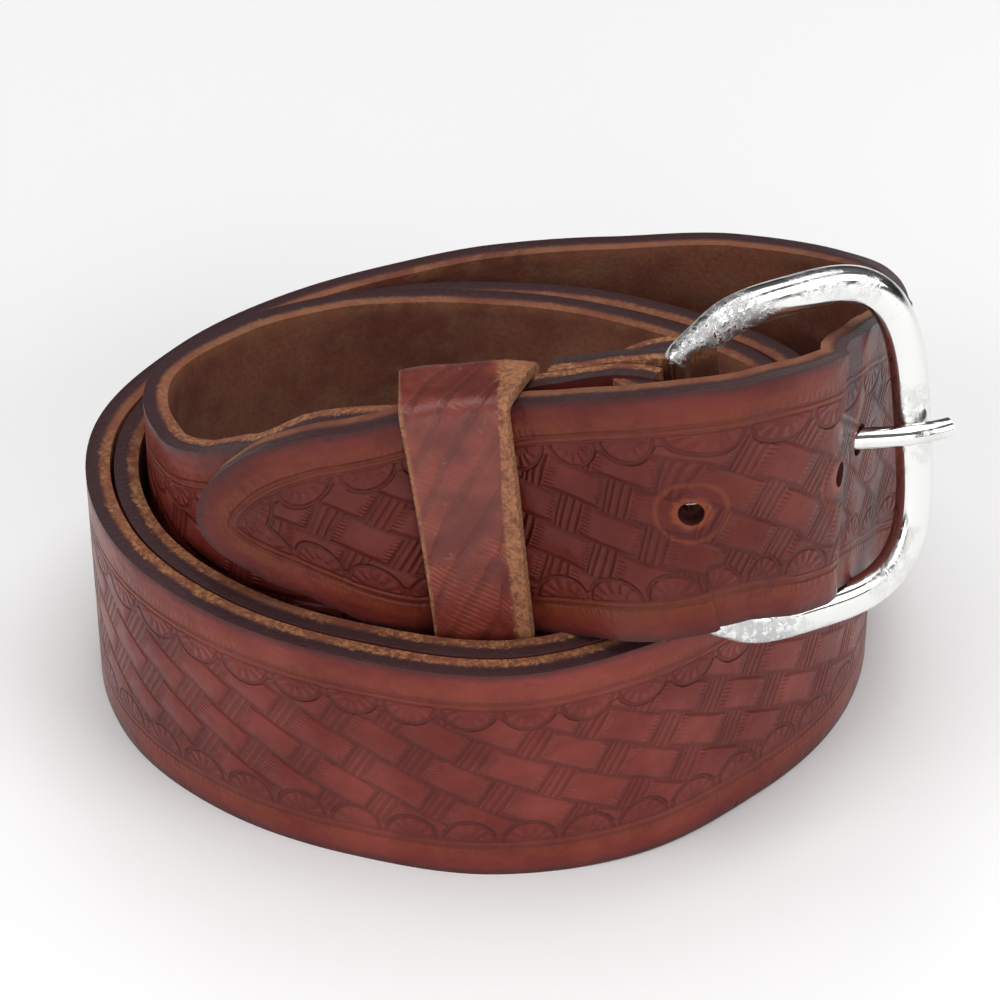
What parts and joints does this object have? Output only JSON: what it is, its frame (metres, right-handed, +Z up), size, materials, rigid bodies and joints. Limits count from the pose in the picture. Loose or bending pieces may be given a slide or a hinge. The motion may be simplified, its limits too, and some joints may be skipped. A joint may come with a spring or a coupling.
{
  "type": "leather belt with buckle",
  "caption": "Western belt rolled up and buckled: a stamped leather strap wound on its edge, a rounded frame buckle with a prong, and a leather keeper loop.",
  "frame": {"origin": "centre of the bounding box at the level of the strap's lower edge, on which the rolled belt stands", "axes": "+Z up along the width of the strap, +X to the right past the buckle, -Y to the front where the pointed end and the keeper are"},
  "size_m": [0.1258, 0.1034, 0.0856],
  "materials": {
    "strap": "burnished",
    "keeper_loop": "burnished",
    "buckle_frame": "polished",
    "buckle_tongue": "polished"
  },
  "bodies": {
    "root": {"strap": "strap", "buckle_frame": "buckle_frame", "buckle_tongue": "buckle_tongue", "keeper_loop": "keeper_loop"}
  },
  "joints": []
}
